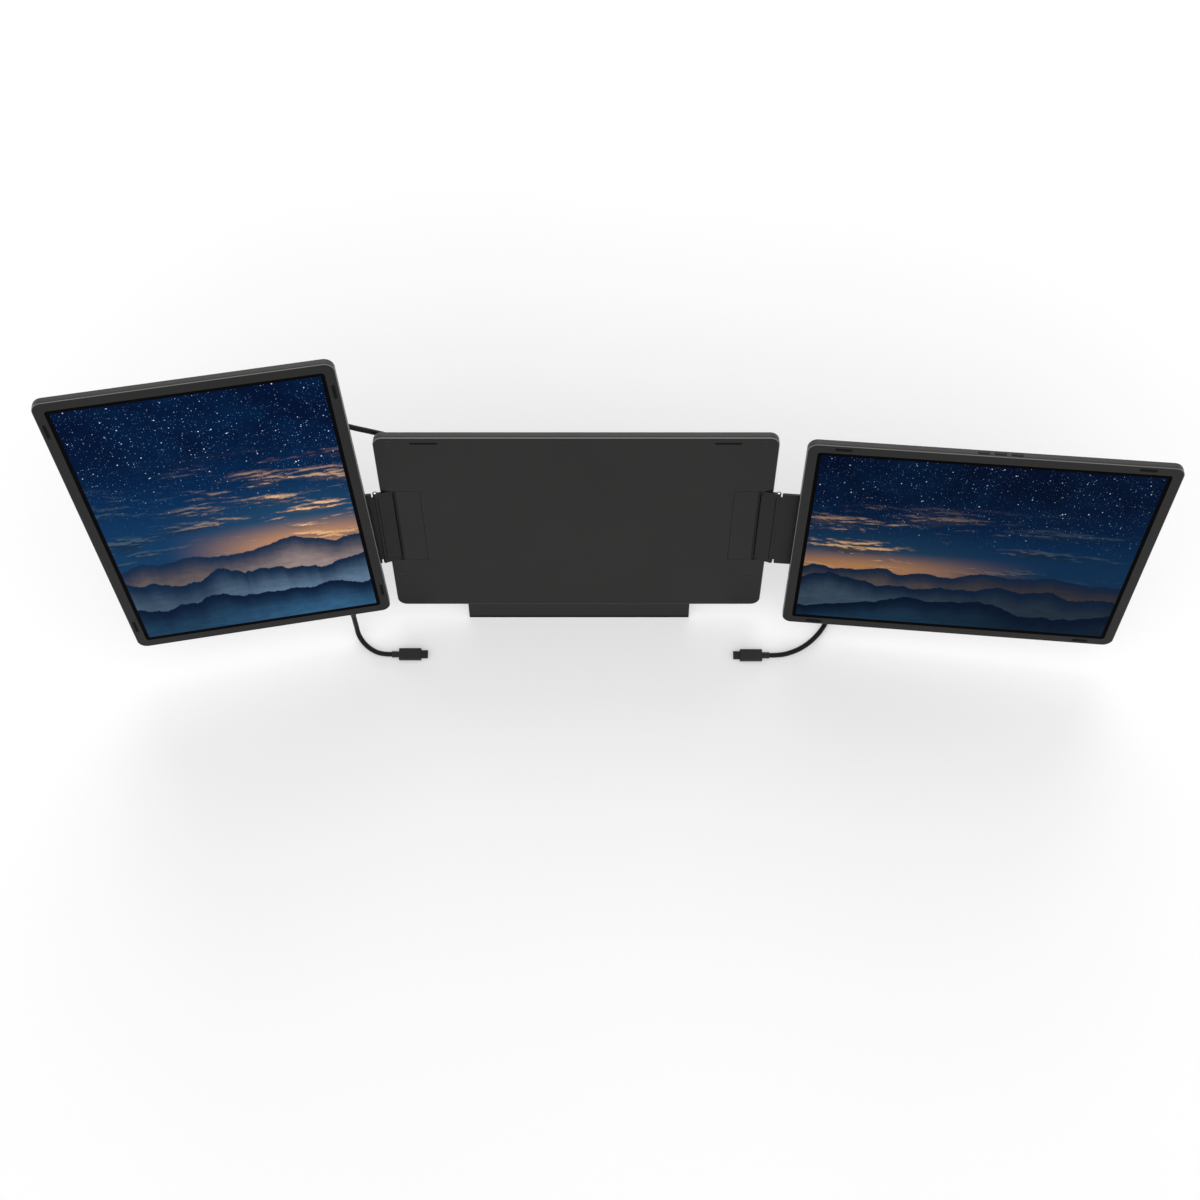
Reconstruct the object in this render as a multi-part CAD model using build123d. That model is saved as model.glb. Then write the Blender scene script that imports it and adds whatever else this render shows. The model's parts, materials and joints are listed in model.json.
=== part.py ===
from build123d import *

import os
from math import atan2, cos, degrees, pi, radians, sin, tan

os.makedirs("parts", exist_ok=True)

# A screen extender for a laptop. A flat centre frame stands behind the laptop's lid on a foot
# rail and a fold-out stand. On each side a double hinge, which is two pins with a link between
# them, carries an arm, and each arm carries a monitor that turns between landscape and portrait
# on a friction pivot.
#
# Frame space: X to the right, Y from the front to the back, Z up the frame, with the origin in
# the middle of the frame's lower front edge. Everything is modelled upright and then leaned back,
# so that the middle of the foot's sole comes to the part's own origin.

# --- attitude at rest (degrees, mm) ---
lean = 29.0                 # the frame leans back from the vertical
rise = 20.0                 # desk to the frame's lower front edge
right_yaw = 5.5             # each monitor is swung in towards the user
left_yaw = 9.5
left_roll = 2.2             # the portrait monitor is turned a little past upright

# --- centre frame ---
frame_w = 358.0
frame_h = 229.0
front_t = 3.0               # front cover, skin and rim
rear_t = 5.4                # rear cover
corner_r = 9.0
front_edge_r = 0.8
rear_edge_r = 1.8
front_skin = 1.6
front_rim = 2.4
fit_gap = 0.3               # seam between two covers that lie side by side

frame_pad_w = 24.0
frame_pad_h = 1.8
frame_pad_t = 0.8
frame_pad_proud = 0.2
frame_pad_x = 134.0
frame_pad_drop = 7.0        # below the upper edge
frame_screw_x = 166.0
frame_screw_low = 44.0
screw_head_r = 2.4
screw_head_t = 1.2
screw_slot_w = 0.7

# --- foot rail ---
rail_w = 220.0
rail_t = 6.0
rail_inset = 1.2            # from the frame's front face
sole_t = 2.5
rail_r = 3.0

# --- stand ---
stand_w = 150.0
stand_t = 2.4
stand_open = 38.0
stand_pivot_z = 152.0
stand_barrel_r = 2.6
stand_pin_r = 1.5
stand_pin_depth = 7.8       # pin axis behind the front face
stand_recess = 2.7
stand_clear = 0.8           # round the plate in its recess
stand_pad_h = 6.0
stand_corner_r = 3.0
stand_sole = 0.2            # the pad runs on this far, to be cut at the desk
stand_panel_in = 28.0       # raised panel inside the groove, from the plate's sides
stand_panel_up = 41.0       # from its lower edge
stand_panel_down = 29.0     # from the pin
stand_panel_r = 10.0
stand_groove_w = 4.0
stand_groove_t = 0.6
finger_r = 9.0              # finger notch under the stand
lug_w = 7.0
lug_r = 2.9
bore_clear = 0.05

# --- double hinge between the frame and an arm ---
hinge_h = 94.0
inner_in = 9.4              # inner pin, inside the frame's edge
inner_depth = 2.0           # and behind the frame's face
inner_barrel_r = 1.8
outer_out = 4.6             # outer pin, outside the frame's edge
outer_front = 2.2           # and in front of the frame's face
outer_barrel_r = 2.2
pin_r = 1.0
link_t = 2.2
ear_h = 5.0
ear_clear = 0.2
barrel_clear = 0.4
window_w = 36.0             # opening in the front cover, from the frame's edge
base_drop = 1.2             # hinge base below the front face, and its cover's thickness
slot_w = 0.7                # shadow slot beside the inner barrels

# --- arm ---
plate_t = 2.4
arm_neck = 3.4
plate_drop = 0.4            # the plate lies behind the barrel's crest
arm_wide = 62.0             # full height up to here, from the outer pin
arm_end_r = 34.0
arm_corner_r = 4.0
arm_rib_h = 0.8
arm_rib_z = 30.0            # ribs above and below the middle
arm_rib_w = 3.0
arm_rib_in = 6.0            # from the neck
landscape_gap = 23.0        # frame's edge to the monitor's near edge

# --- monitor ---
mon_w = 320.0
mon_h = 244.0
mon_t = 8.5
mon_gap = 1.2               # arm to the monitor's back
bezel_t = 2.2
bezel_w = 9.0
pivot_in = 110.0            # pivot axis from the near edge
mon_corner_r = 9.0
mon_edge_r = 2.4
bezel_edge_r = 0.7
window_r = 3.0
floor_t = 1.6
ledge_w = 16.0
glass_t = 1.0
glass_sunk = 0.4
glass_clear = 0.2
module_t = 2.6
module_in = 10.0            # backlight module inside the monitor's outline
boss_r = 34.0
boss_t = 1.2

# --- pivot ---
flange_r = 30.0
flange_t = 1.5
stud_r = 6.0
ring_r = 26.0
ring_in_r = 8.0
cap_r = 15.0
cap_t = 2.4
cap_end = 0.6
pivot_screw_r = 22.0        # two pairs of screws, this far across and up
cap_gap = 0.1
cap_edge_r = 1.0

# --- sockets, keys and pads of a monitor ---
port_w = 9.0
port_h = 3.2
port_depth = 7.4
port_wall = 0.3
port_clear = 0.1
port_floor = 1.0
port_tongue_in = 1.2
port_tongue_t = 0.7
port_tongue_down = 1.4      # below the socket's mouth
port_up = 62.0              # on the near edge, from the lower edge
key_l = 10.0
key_w = 3.0
key_pitch = 14.2
key_in = 150.0              # first key from the near edge
key_proud = 0.6
key_depth = 3.6
key_travel = 0.5
key_clear = 0.2
switch_t = 1.6
switch_half = 1.4
mon_pad_l = 15.0
mon_pad_w = 2.6
mon_pad_t = 0.8
mon_pad_proud = 0.3
mon_pad_in = 31.0
mon_screw_in = 6.5
board_l = 110.0
board_w = 38.0
board_t = 1.0
standoff_h = 1.0
standoff_r = 2.5
chip_t = 0.8
chips = ((-30.0, 4.0, 14.0), (0.0, -4.0, 18.0), (28.0, 6.0, 10.0))    # across, up, size
board_in = 6.0              # from the rear cover's ledges
board_up = 4.0
standoff_in = 4.5           # from the board's edges

# --- cords: each has a gland on its monitor and a plug on its free end ---
cord_r = 2.5
gland_l = 6.0
gland_r = 2.9
gland_end_r = 2.7
gland_depth = 7.25          # a near-edge gland, in front of the outer pin's depth
near_gland_up = 38.0        # on the near edge, from the lower edge
rear_gland_in = 64.0        # on the back, from the near edge
rear_gland_up = 34.0        # and from the lower edge
link_gland_in = 226.0
link_gland_up = 25.0
relief_l = 7.0
relief_r = 3.3
relief_groove = 0.4
plug_l = 22.0
plug_w = 12.0
plug_t = 6.8
plug_r = 1.6
plug_edge_r = 0.6
tip_l = 6.6
tip_w = 8.3
tip_t = 2.5
tip_wall = 0.4
tip_root = 1.0

# Routes over the desk, in the part's own space, from each gland to its plug.
left_route = [
    (-221.86, -6.79, 29.32), (-221.56, -10.62, 22.3), (-221.2, -14.6, 14.8), (-220.9, -18.9, 8.2),
    (-219.5, -23.6, 3.9), (-214.6, -30.6, 2.6), (-206.8, -36.9, 2.7), (-196.6, -41.4, 3.4), (-186.2, -41.4, 3.4),
]
right_route = [
    (265.91, 12.91, 46.63), (266.72, 20.31, 42.52), (266.6, 28.0, 36.6), (266.0, 33.4, 28.4),
    (264.6, 35.2, 18.6), (262.0, 31.6, 9.8), (258.6, 23.4, 4.4), (255.2, 12.0, 2.7), (251.4, -1.2, 2.6),
    (244.6, -14.8, 2.6), (234.6, -26.2, 2.6), (222.4, -35.2, 2.6), (209.4, -40.4, 2.8), (199.4, -42.4, 3.4),
    (189.4, -42.4, 3.4),
]
link_route = [
    (-219.53, 115.27, 227.29), (-221.18, 123.9, 222.51), (-219.6, 131.83, 214.52), (-211.5, 135.24, 205.2),
    (-199.0, 133.79, 197.43), (-184.0, 131.8, 192.81), (-168.5, 129.59, 187.18), (-155.5, 126.54, 178.58),
    (-146.5, 124.06, 168.52), (-141.8, 123.08, 156.03), (-141.8, 123.08, 143.03),
]

over = 1.0                  # a cut runs on this far past a face

# --- derived places ---
frame_t = front_t + rear_t
edge_x = frame_w / 2
mid_z = frame_h / 2
inner_x = edge_x - inner_in
outer_x = edge_x + outer_out
near_gap = landscape_gap - outer_out            # outer pin to the monitor's near edge
pivot_x = near_gap + pivot_in                   # outer pin to the pivot axis
plate_front = plate_drop - outer_barrel_r
plate_back = plate_front + plate_t
mon_back = plate_front - mon_gap
mon_front = mon_back - mon_t
rim_y = mon_front + bezel_t
floor_y = mon_back - floor_t
module_back = mon_front + glass_sunk + glass_t + module_t
side_mid_y = (mon_back - mon_edge_r + rim_y) / 2
near_x = -pivot_in
far_x = mon_w - pivot_in
mid_x = (near_x + far_x) / 2
low_z = -mon_h / 2
top_z = mon_h / 2
key_floor = top_z - key_depth - key_travel - fit_gap / 2 - switch_t

foot_back = (rise * sin(radians(lean)) - rail_inset - rail_t / 2) / cos(radians(lean))
stage = Location((0, foot_back, rise), (-lean, 0, 0))
right_hinge = stage * Location((outer_x, -outer_front, mid_z), (0, 0, -right_yaw))
left_hinge = stage * Location((-outer_x, -outer_front, mid_z), (0, 0, left_yaw))
right_monitor = right_hinge * Location((pivot_x, 0, 0))
left_monitor = left_hinge * Location((-pivot_x, 0, 0), (0, -90 - left_roll, 0))
stand_place = stage * Location((0, stand_pin_depth, stand_pivot_z), (stand_open, 0, 0))


def block(x, y, z):
    """A box between two limits on each axis."""
    size = [high - low for low, high in (x, y, z)]
    centre = [(low + high) / 2 for low, high in (x, y, z)]
    return Pos(*centre) * Box(*size)


def slab(width, height, radius, y0, y1, x=0.0, z=0.0):
    """A plate with round corners that faces the front, from depth y0 to y1."""
    outline = RectangleRounded(width, height, radius)
    return Plane((x, y1, z), x_dir=(1, 0, 0), z_dir=(0, -1, 0)) * extrude(outline, y1 - y0)


def disc(radius, y0, y1, x=0.0, z=0.0, bore=0.0):
    """A round plate that faces the front, with an optional hole."""
    outline = Circle(radius) - Circle(bore) if bore else Circle(radius)
    return Plane((x, y1, z), x_dir=(1, 0, 0), z_dir=(0, -1, 0)) * extrude(outline, y1 - y0)


def rod_x(radius, x0, x1, y, z):
    """A round bar along X."""
    return Plane((x0, y, z), x_dir=(0, 1, 0), z_dir=(1, 0, 0)) * extrude(Circle(radius), x1 - x0)


def rod_z(radius, z0, z1, x=0.0, y=0.0):
    """A round bar along Z."""
    return Pos(x, y, z0) * extrude(Circle(radius), z1 - z0)


def edges_at_y(solid, y):
    """The edges that lie in one plane across the depth."""
    return solid.edges().filter_by_position(Axis.Y, y - 0.01, y + 0.01)


def screw(x, z, y_face, inward):
    """A flush slotted screw head. inward is +1 where the head sinks towards the back."""
    y0, y1 = sorted((y_face, y_face + inward * screw_head_t))
    slot_y = sorted((y_face, y_face + inward * screw_head_t / 2))
    head = disc(screw_head_r, y0, y1, x, z)
    slot = block((x - screw_head_r, x + screw_head_r), slot_y, (z - screw_slot_w / 2, z + screw_slot_w / 2))
    return head - slot


def screw_seat(x, z, y_face, inward):
    y0, y1 = sorted((y_face, y_face + inward * screw_head_t))
    return disc(screw_head_r, y0, y1, x, z)


def above_desk(solid, low, high):
    """The part of a placed solid between two heights over the desk."""
    reach = 400.0
    return solid & block((-reach, reach), (-reach, reach), (low, high))


# ---------------------------------------------------------------- centre frame

frame_screw_spots = [
    (side * frame_screw_x, z)
    for side in (-1, 1)
    for z in (frame_screw_low, frame_h - frame_pad_drop)
]
frame_pad_spots = [(side * frame_pad_x, frame_h - frame_pad_drop) for side in (-1, 1)]


def frame_pad(x, z):
    return slab(frame_pad_w, frame_pad_h, frame_pad_h / 2 - 0.01, -frame_pad_proud,
                frame_pad_t - frame_pad_proud, x, z)


def make_front_cover():
    cover = slab(frame_w, frame_h, corner_r, 0, front_t, z=mid_z)
    cover = fillet(edges_at_y(cover, 0), front_edge_r)
    inner_r = corner_r - front_rim
    inner_w, inner_h = frame_w - 2 * front_rim, frame_h - 2 * front_rim
    cover -= slab(inner_w, inner_h, inner_r, front_skin, front_t, z=mid_z)
    for side in (-1, 1):
        xs = sorted((side * (edge_x - window_w), side * (edge_x + over)))
        cover -= block(xs, (-over, front_t), window_z)
    for x, z in frame_pad_spots:
        cover -= frame_pad(x, z)
    for x, z in frame_screw_spots:
        cover -= screw_seat(x, z, 0, 1)
    return cover


def make_rear_cover():
    cover = slab(frame_w, frame_h, corner_r, front_t, frame_t, z=mid_z)
    cover = fillet(edges_at_y(cover, frame_t), rear_edge_r)
    recess_w = stand_w + 2 * stand_clear
    recess_low = stand_pivot_z - stand_length - stand_clear
    recess_high = stand_pivot_z + stand_barrel_r + stand_clear
    recess_h = recess_high - recess_low
    recess_y = (frame_t - stand_recess, frame_t + over)
    cover -= slab(recess_w, recess_h, stand_corner_r, *recess_y, z=(recess_low + recess_high) / 2)
    cover -= block((-recess_w / 2, recess_w / 2), recess_y, (stand_pivot_z - stand_corner_r, recess_high))
    cover -= rod_x(stand_barrel_r + barrel_clear, -recess_w / 2, recess_w / 2, stand_pin_depth, stand_pivot_z)
    cover -= disc(finger_r, *recess_y, 0, recess_low)
    for side in (-1, 1):
        x0, x1 = sorted((side * recess_w / 2, side * (recess_w / 2 + lug_w)))
        lug = rod_x(lug_r, x0, x1, stand_pin_depth, stand_pivot_z)
        lug_z = (stand_pivot_z - lug_r, stand_pivot_z + lug_r)
        lug += block((x0, x1), (frame_t - stand_recess, stand_pin_depth), lug_z)
        cover += lug
        cover -= rod_x(stand_pin_r, x0, x1, stand_pin_depth, stand_pivot_z)
    for side in (-1, 1):
        cover -= rod_z(inner_barrel_r + barrel_clear, *window_z, side * inner_x, inner_depth)
    return cover


def make_foot(low, high):
    rail_h = 2 * rise
    rail = slab(rail_w, 2 * rail_h, rail_r, rail_inset, rail_inset + rail_t)
    rail -= block((-rail_w, rail_w), (-over, frame_t), (0, rail_h))
    return above_desk(stage * rail, low, high)


# --- double hinge, modelled for the right side ---

window_z = (mid_z - hinge_h / 2 - fit_gap, mid_z + hinge_h / 2 + fit_gap)
hinge_z = (mid_z - hinge_h / 2, mid_z + hinge_h / 2)
between_ears_z = (hinge_z[0] + ear_h, hinge_z[1] - ear_h)
barrel_z = (between_ears_z[0] + ear_clear, between_ears_z[1] - ear_clear)
ear_zs = ((hinge_z[0], between_ears_z[0]), (between_ears_z[1], hinge_z[1]))
cover_x = inner_x - inner_barrel_r - slot_w
window_x = edge_x - window_w + fit_gap
link_span = ((outer_x - inner_x) ** 2 + (outer_front + inner_depth) ** 2) ** 0.5
link_tilt = degrees(atan2(outer_front + inner_depth, outer_x - inner_x))


def make_hinge_base():
    """The plate in the frame's window, with an ear at each end of the inner pin."""
    base = block((window_x, inner_x), (base_drop, front_t), hinge_z)
    base -= rod_z(inner_barrel_r + barrel_clear, *between_ears_z, inner_x, inner_depth)
    base -= block((inner_x - inner_barrel_r, inner_x), (0, front_t), between_ears_z)
    for z0, z1 in ear_zs:
        base += rod_z(inner_barrel_r, z0, z1, inner_x, inner_depth)
    return base - rod_z(pin_r, *hinge_z, inner_x, inner_depth)


def make_link():
    """The leaf between the pins: one long barrel on the inner pin, two short ones on the outer."""
    strip = Pos(link_span / 2, link_t / 2 - inner_barrel_r) * Rectangle(link_span, link_t)
    plate = Pos(inner_x, inner_depth, hinge_z[0]) * Rot(0, 0, -link_tilt) * extrude(strip, hinge_h)
    for z0, z1 in ear_zs:
        plate -= rod_z(inner_barrel_r + barrel_clear, z0, z1 + ear_clear, inner_x, inner_depth)
        plate -= rod_z(inner_barrel_r + barrel_clear, z0 - ear_clear, z1, inner_x, inner_depth)
    plate -= rod_z(outer_barrel_r + barrel_clear, *between_ears_z, outer_x, -outer_front)
    plate += rod_z(inner_barrel_r, *barrel_z, inner_x, inner_depth)
    for z0, z1 in ear_zs:
        plate += rod_z(outer_barrel_r, z0, z1, outer_x, -outer_front)
    plate -= rod_z(pin_r + bore_clear, *hinge_z, inner_x, inner_depth)
    return plate - rod_z(pin_r, *hinge_z, outer_x, -outer_front)


def make_hinge_cover():
    return block((window_x, cover_x), (0, base_drop), hinge_z)


def make_inner_pin():
    return rod_z(pin_r, *hinge_z, inner_x, inner_depth)


def make_outer_pin():
    return rod_z(pin_r, *hinge_z, outer_x, -outer_front)


# ---------------------------------------------------------------- stand

def stand_reach():
    """From the stand's pin to the desk, along the opened stand."""
    return stand_place.position.Z / cos(radians(stand_open - lean))


stand_length = stand_reach()


def make_stand_plate():
    """In the stand's own space: the origin is on the pin and the closed plate hangs down."""
    back = frame_t - stand_pin_depth
    plate_h = stand_length - stand_pad_h
    plate = block((-stand_w / 2, stand_w / 2), (back - stand_t, back), (-plate_h, 0))
    plate += rod_x(stand_barrel_r, -stand_w / 2, stand_w / 2, 0, 0)
    panel_w = stand_w - 2 * stand_panel_in
    panel_h = plate_h - stand_panel_up - stand_panel_down
    panel_z = (stand_panel_up - stand_panel_down - plate_h) / 2
    ring_w, ring_h = panel_w + 2 * stand_groove_w, panel_h + 2 * stand_groove_w
    groove = slab(ring_w, ring_h, stand_panel_r + stand_groove_w, back - stand_groove_t, back, z=panel_z)
    groove -= slab(panel_w, panel_h, stand_panel_r, back - stand_groove_t, back, z=panel_z)
    plate -= groove
    return plate - rod_x(stand_pin_r + bore_clear, -stand_w, stand_w, 0, 0)


def make_stand_pad():
    back = frame_t - stand_pin_depth
    low, high = -stand_length - stand_sole, stand_pad_h - stand_length
    pad = slab(stand_w, 2 * (high - low), stand_corner_r - stand_clear, back - stand_t, back, z=high)
    pad -= block((-stand_w, stand_w), (back - stand_t, back), (high, 2 * high - low))
    return above_desk(stand_place * pad, 0, 2 * rise)


def make_stand_pin():
    half = stand_w / 2 + stand_clear + lug_w
    return rod_x(stand_pin_r, -half, half, stand_pin_depth, stand_pivot_z)


# ---------------------------------------------------------------- arm

def make_arm():
    """In the arm's own space: the origin is on the outer pin, X points away from the frame."""
    half = hinge_h / 2
    barrel_half = half - ear_h - ear_clear
    wide = Pos(arm_neck + (arm_wide - arm_neck) / 2, 0) * Rectangle(arm_wide - arm_neck, hinge_h)
    wide = fillet(wide.vertices().group_by(Axis.X)[0], arm_corner_r / 4)
    outline = make_hull(wide.edges() + (Pos(pivot_x, 0) * Circle(arm_end_r)).edges())
    outline += Pos(arm_neck, 0) * Rectangle(2 * arm_neck, 2 * barrel_half)
    plate = Plane((0, plate_back, 0), x_dir=(1, 0, 0), z_dir=(0, -1, 0)) * extrude(outline, plate_t)
    plate += rod_z(outer_barrel_r, -barrel_half, barrel_half)
    for side in (-1, 1):
        rib_z = sorted((side * arm_rib_z, side * (arm_rib_z + arm_rib_w)))
        plate += block((arm_neck + arm_rib_in, arm_wide), (plate_back, plate_back + arm_rib_h), rib_z)
    plate -= rod_z(pin_r + bore_clear, -half, half)
    return plate - disc(stud_r + bore_clear, plate_front - over, plate_back + over, pivot_x)


# ---------------------------------------------------------------- monitor
# In the monitor's own space: the origin is on the pivot axis at the outer pin's depth, and the
# monitor is in landscape with its near edge, the one beside the frame, on the left.

mon_screw_spots = [
    (x, z)
    for x in (near_x + mon_screw_in, mid_x, far_x - mon_screw_in)
    for z in (low_z + mon_screw_in, top_z - mon_screw_in)
]
pivot_screw_spots = [(dx * pivot_screw_r, dz * pivot_screw_r) for dx in (-0.8, 0.8) for dz in (-0.8, 0.8)]
mon_pad_spots = [
    (x, z)
    for x in (near_x + mon_pad_in, far_x - mon_pad_in)
    for z in (low_z + bezel_w / 2, top_z - bezel_w / 2)
]
key_xs = [near_x + key_in + n * key_pitch for n in range(3)]
board_x = near_x + ledge_w + board_in + board_l / 2
board_z = low_z + ledge_w + board_up + board_w / 2


def pill(length, width, z0, z1, x, y):
    """A round-ended bar along X, from height z0 to z1."""
    return Pos(x, y, z0) * extrude(SlotOverall(length, width), z1 - z0)


def mon_pad(x, z):
    return slab(mon_pad_l, mon_pad_w, mon_pad_w / 2 - 0.01, mon_front - mon_pad_proud,
                mon_front + mon_pad_t - mon_pad_proud, x, z)


def make_bezel():
    bezel = slab(mon_w, mon_h, mon_corner_r, mon_front, rim_y, mid_x)
    bezel = fillet(edges_at_y(bezel, mon_front), bezel_edge_r)
    bezel -= slab(mon_w - 2 * bezel_w, mon_h - 2 * bezel_w, window_r, mon_front, rim_y, mid_x)
    for x, z in mon_pad_spots:
        bezel -= mon_pad(x, z)
    return bezel


def make_mon_rear_cover():
    cover = slab(mon_w, mon_h, mon_corner_r, rim_y, mon_back, mid_x)
    cover = fillet(edges_at_y(cover, mon_back), mon_edge_r)
    module_w, module_h = mon_w - 2 * module_in, mon_h - 2 * module_in
    pocket_w, pocket_h = module_w + 2 * glass_clear, module_h + 2 * glass_clear
    cover -= slab(pocket_w, pocket_h, window_r, rim_y, module_back, mid_x)
    room_x, room_z = (near_x + ledge_w, far_x - ledge_w), (low_z + ledge_w, top_z - ledge_w)
    cover -= block(room_x, (module_back, floor_y), room_z)
    cover += disc(boss_r, floor_y - boss_t, floor_y)
    reach_x, reach_z = board_l / 2 - standoff_in, board_w / 2 - standoff_in
    for x in (board_x - reach_x, board_x + reach_x):
        for z in (board_z - reach_z, board_z + reach_z):
            cover += disc(standoff_r, floor_y - standoff_h, floor_y, x, z)
    cover -= disc(flange_r + port_clear, mon_back - flange_t, mon_back)
    cover -= place_socket(port_block(port_clear))
    for x in key_xs:
        cover -= pill(key_l + 2 * key_clear, key_w + 2 * key_clear, key_floor, top_z + over, x, side_mid_y)
    for x, z in mon_screw_spots:
        cover -= screw_seat(x, z, mon_back, -1)
    return cover


def port_block(clear):
    """The room of a socket, in socket space: its mouth is at the origin and opens along -Z."""
    face = RectangleRounded(port_w + 2 * clear, port_h + 2 * clear, (port_h + 2 * clear) / 2 - 0.01)
    return extrude(face, port_depth + clear)


def make_socket():
    inner = RectangleRounded(port_w - 2 * port_wall, port_h - 2 * port_wall, port_h / 2 - port_wall - 0.01)
    shell = port_block(0) - extrude(inner, port_depth - port_floor)
    half_w = port_w / 2 - port_tongue_in
    half_t = port_tongue_t / 2
    return shell + block((-half_w, half_w), (-half_t, half_t), (port_tongue_down, port_depth - port_floor))


def place_socket(solid):
    """Puts a solid of socket space on the monitor's near edge, where the socket opens sideways."""
    return Pos(near_x, side_mid_y, low_z + port_up) * Rot(0, 90, 0) * solid


def make_driver_board():
    back = floor_y - standoff_h
    face = back - board_t

    def tile(x, z, length, width, y0, y1):
        return block((x - length / 2, x + length / 2), (y0, y1), (z - width / 2, z + width / 2))

    board = tile(board_x, board_z, board_l, board_w, face, back)
    for dx, dz, size in chips:
        board += tile(board_x + dx, board_z + dz, size, size, face - chip_t, face)
    return board


def make_monitor():
    """Every piece of a monitor, by the name that its node ends with."""
    glass_w, glass_h = mon_w - 2 * (bezel_w + glass_clear), mon_h - 2 * (bezel_w + glass_clear)
    glass_y = mon_front + glass_sunk
    module_w, module_h = mon_w - 2 * module_in, mon_h - 2 * module_in
    cap_y = plate_back + cap_gap
    stud = disc(flange_r, mon_back - flange_t, mon_back)
    stud += disc(stud_r, mon_back, cap_y + cap_t - cap_end)
    for x, z in pivot_screw_spots:
        stud -= screw_seat(x, z, mon_back, -1)
    cap = disc(cap_r, cap_y, cap_y + cap_t)
    cap = fillet(edges_at_y(cap, cap_y + cap_t), cap_edge_r)
    cap -= disc(stud_r, cap_y, cap_y + cap_t - cap_end)
    screws = [screw(x, z, mon_back, -1) for x, z in mon_screw_spots + pivot_screw_spots]
    switch_y = (side_mid_y - switch_half, side_mid_y + switch_half)
    switch_z = (key_floor, key_floor + switch_t)
    switches = [block((x - switch_half, x + switch_half), switch_y, switch_z) for x in key_xs]
    return {
        "bezel": make_bezel(),
        "rear_cover": make_mon_rear_cover(),
        "screen_glass": slab(glass_w, glass_h, window_r - glass_clear, glass_y, glass_y + glass_t, mid_x),
        "backlight_module": slab(module_w, module_h, window_r, glass_y + glass_t, module_back, mid_x),
        "driver_board": [make_driver_board()] + switches,
        "usb_socket": place_socket(make_socket()),
        "bezel_pads": [mon_pad(x, z) for x, z in mon_pad_spots],
        "screws": screws,
        "pivot_stud": stud,
        "pivot_ring": disc(ring_r, mon_back, plate_front - bore_clear, bore=ring_in_r),
        "pivot_cap": cap,
    }


def make_key(x):
    return pill(key_l, key_w, top_z - key_depth, top_z + key_proud, x, side_mid_y)


# ---------------------------------------------------------------- cords


def corner_radii(points):
    """Every corner of a route takes the largest arc that its two runs leave room for."""
    radii = []
    for before, corner, after in zip(points, points[1:], points[2:]):
        run_in, run_out = Vector(corner) - Vector(before), Vector(after) - Vector(corner)
        half_turn = radians(run_in.get_angle(run_out)) / 2
        radii.append(0.45 * min(run_in.length, run_out.length) / tan(half_turn))
    return radii


def make_cord(name, points):
    """A tube along straight runs joined by tangent arcs."""
    radii = corner_radii(points)
    path = FilletPolyline(*points, radius=radii)
    cord = sweep(Plane(origin=path @ 0, z_dir=path % 0) * Circle(cord_r), path=path)
    swept = cord.volume / (pi * cord_r**2 * path.length)
    print(name, "length", round(path.length, 1), "volume ratio", round(swept, 4))
    print("radii", [round(r) for r in radii])
    return cord


def make_gland():
    """A tapered sleeve that stands up from the housing along Z."""
    return Pos(0, 0, gland_l / 2) * Cone(gland_r, gland_end_r, gland_l)


def bar_x(outline, x0, x1):
    """An outline across X, drawn out from x0 to x1."""
    return Plane((x0, 0, 0), x_dir=(0, 1, 0), z_dir=(1, 0, 0)) * extrude(outline, x1 - x0)


def make_plug():
    """The strain relief and body, then the metal tip. The cord comes in along X at the origin."""
    body = bar_x(Circle(relief_r), 0, relief_l)
    for n in range(3):
        x = relief_l * (0.22 + 0.26 * n)
        body -= bar_x(Circle(relief_r) - Circle(relief_r - relief_groove), x, x + 2 * relief_groove)
    grip = bar_x(RectangleRounded(plug_w, plug_t, plug_r), relief_l, relief_l + plug_l)
    body += fillet(grip.edges().filter_by(GeomType.LINE).filter_by(Axis.Y), plug_edge_r)
    shell = RectangleRounded(tip_w, tip_t, tip_t / 2 - 0.01)
    mouth = RectangleRounded(tip_w - 2 * tip_wall, tip_t - 2 * tip_wall, tip_t / 2 - tip_wall - 0.01)
    tip_x = relief_l + plug_l
    return [body, bar_x(shell, tip_x, tip_x + tip_l) - bar_x(mouth, tip_x + tip_root, tip_x + tip_l)]


def plug_place(points, flat_dir):
    """A plug's place: its X goes on from the route's last run, and flat_dir is its thin way."""
    end, before = Vector(points[-1]), Vector(points[-2])
    return Plane(origin=end, x_dir=end - before, z_dir=flat_dir).location


# ---------------------------------------------------------------- assembly

nodes = {}


def add(name, solids, place=None):
    """Puts one piece, or a group of alike pieces, in a node."""
    solids = solids if isinstance(solids, list) else [solids]
    placed = [place * s if place else s for s in solids]
    nodes[name] = placed[0] if len(placed) == 1 else Compound(children=placed)


add("frame_front_cover", make_front_cover(), stage)
add("frame_rear_cover", make_rear_cover(), stage)
add("frame_screws", [screw(x, z, 0, 1) for x, z in frame_screw_spots], stage)
add("frame_pads", [frame_pad(x, z) for x, z in frame_pad_spots], stage)
add("foot_rail", make_foot(sole_t, 2 * rise))
add("foot_sole", make_foot(0, sole_t))
add("stand_plate", make_stand_plate(), stand_place)
add("stand_pad", make_stand_pad())
add("stand_pin", make_stand_pin(), stage)

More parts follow.
